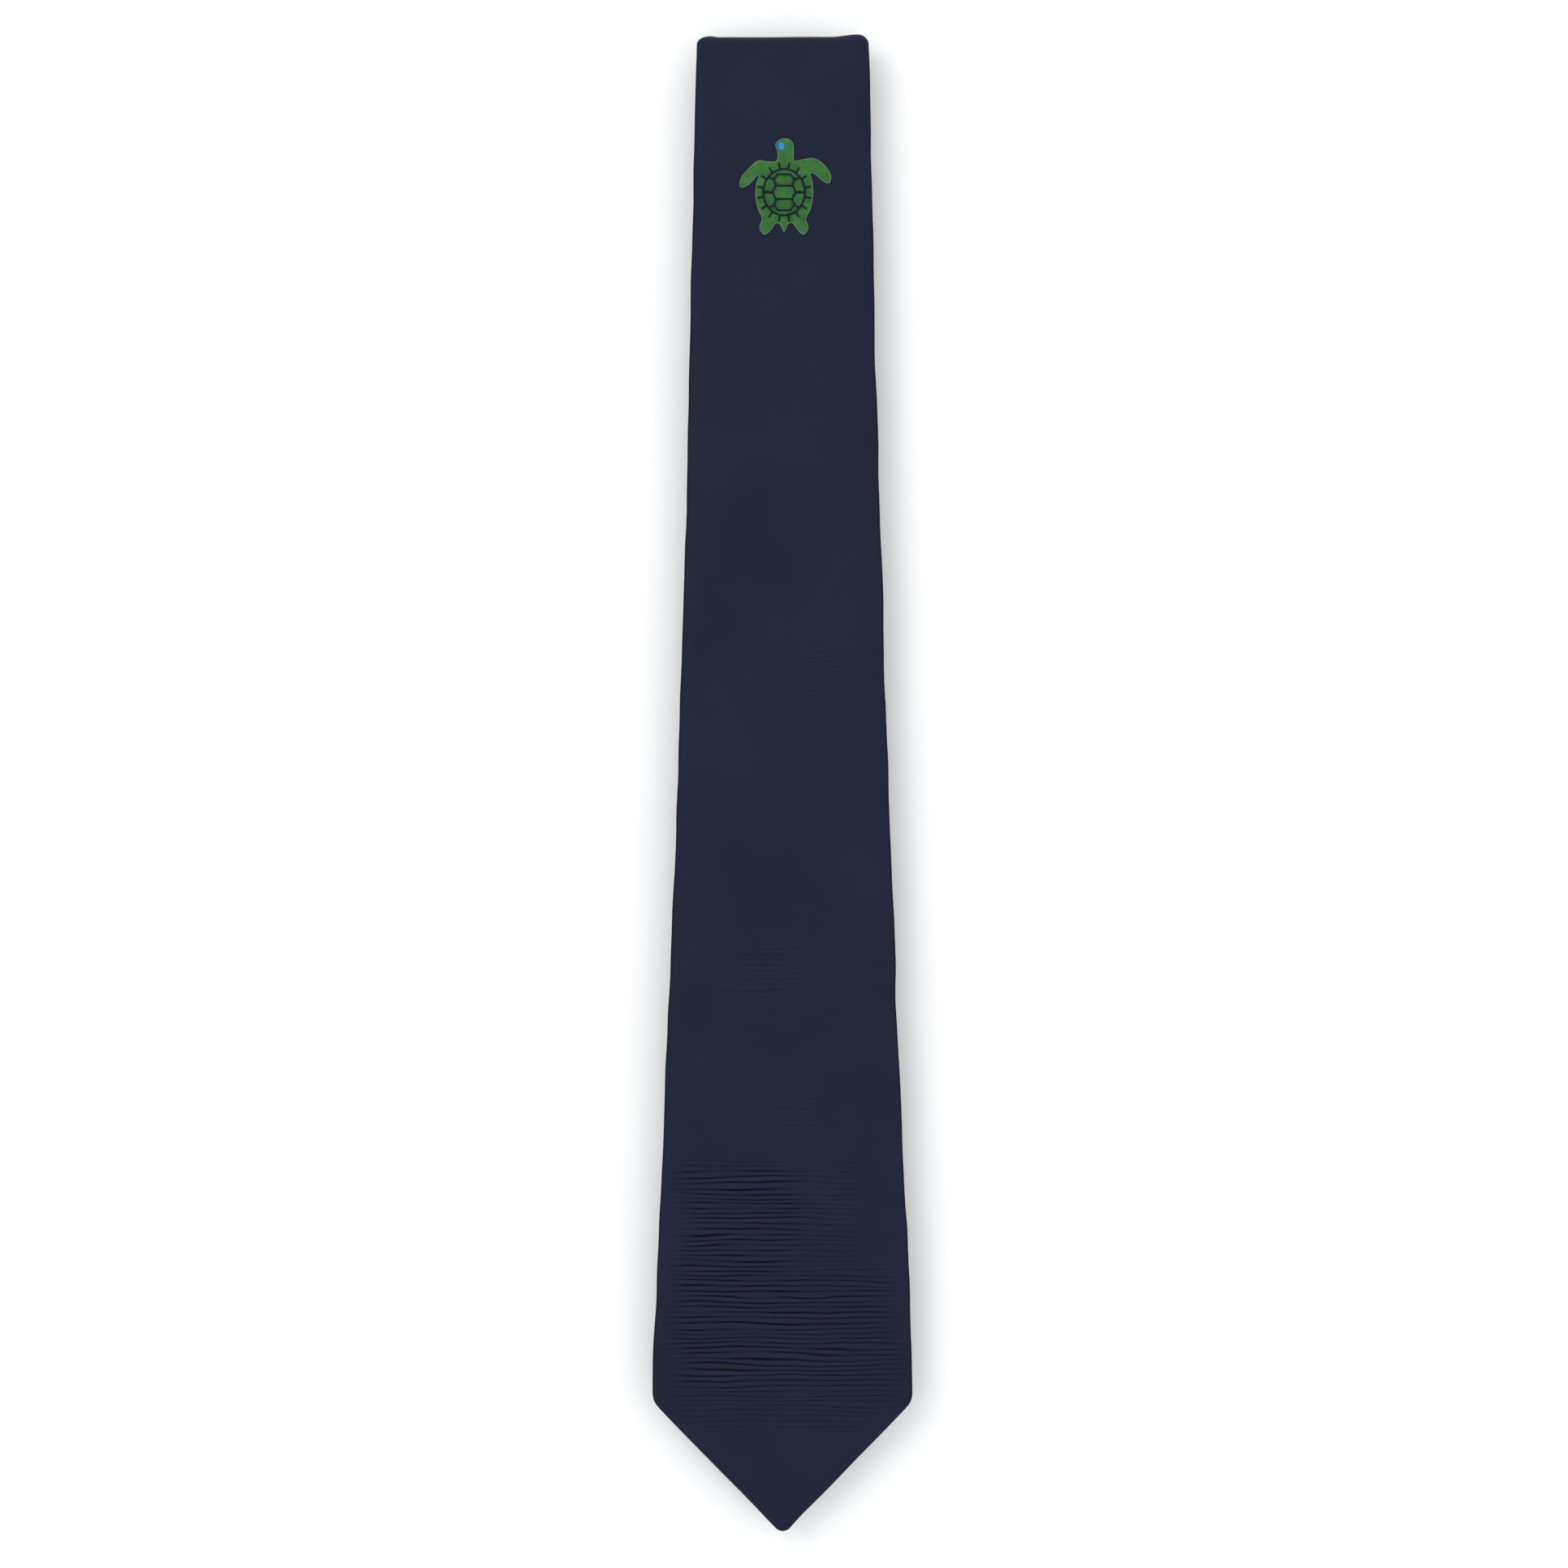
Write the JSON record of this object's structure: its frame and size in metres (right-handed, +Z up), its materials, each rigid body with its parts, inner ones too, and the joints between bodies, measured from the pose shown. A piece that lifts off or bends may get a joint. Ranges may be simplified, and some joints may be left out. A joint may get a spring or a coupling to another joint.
{
  "type": "necktie",
  "caption": "Navy silk necktie laid flat and folded in four layers, with a pointed front blade, a keeper loop, a narrow tail and an embroidered turtle.",
  "frame": {"origin": "on the surface that the folded tie lies on, under the middle of its outline", "axes": "+X across the blade, +Y along the tie from the blade's point to the top fold, +Z up, out of the blade's front face"},
  "size_m": [0.08, 0.461, 0.0157],
  "materials": {
    "silk": "satin",
    "interlining": "matte",
    "lining_silk": "satin",
    "seam_thread": "matte",
    "label_satin": "satin",
    "care_satin": "satin",
    "green_thread": "satin",
    "scute_thread": "satin",
    "blue_thread": "satin"
  },
  "bodies": {
    "front_blade": {"blade_shell": "silk", "blade_interlining": "interlining", "blade_tipping": "lining_silk", "blade_slip_stitch": "seam_thread", "blade_bar_tack": "seam_thread", "keeper_loop": "silk", "keeper_stitch_left": "seam_thread", "keeper_stitch_right": "seam_thread", "woven_label": "label_satin", "label_stitch_left": "seam_thread", "label_stitch_right": "seam_thread", "care_label": "care_satin", "care_label_stitch": "care_satin", "turtle_body": "green_thread", "turtle_carapace": "scute_thread", "turtle_eye": "blue_thread", "top_fold_silk": "silk", "top_fold_interlining": "interlining"},
    "upper_neck": {"blade_silk_neck_end": "silk", "gusset_silk_upper": "silk", "upper_neck_interlining": "interlining", "upper_neck_slip_stitch": "seam_thread", "lower_fold_silk": "silk", "lower_fold_interlining": "interlining"},
    "lower_neck": {"gusset_silk_lower": "silk", "tail_silk_neck_end": "silk", "lower_neck_interlining": "interlining", "lower_neck_slip_stitch": "seam_thread", "tail_fold_silk": "silk", "tail_fold_interlining": "interlining"},
    "tail": {"tail_shell": "silk", "tail_interlining": "interlining", "tail_tipping": "lining_silk", "tail_slip_stitch": "seam_thread", "tail_bar_tack": "seam_thread"}
  },
  "joints": [
    {"name": "top_fold", "type": "hinge", "parent": "front_blade", "child": "upper_neck", "pos_m": [0, 0.22665, 0.01125], "axis": [1, 0, 0], "range_deg": [0, 179.9], "deforming": ["top_fold_silk", "top_fold_interlining"]},
    {"name": "lower_fold", "type": "hinge", "parent": "upper_neck", "child": "lower_neck", "pos_m": [0, -0.14325, 0.00695], "axis": [-1, 0, 0], "range_deg": [0, 179.9], "deforming": ["lower_fold_silk", "lower_fold_interlining"]},
    {"name": "tail_fold", "type": "hinge", "parent": "lower_neck", "child": "tail", "pos_m": [0, 0.22425, 0.00325], "axis": [1, 0, 0], "range_deg": [0, 179.9], "deforming": ["tail_fold_silk", "tail_fold_interlining"]}
  ]
}
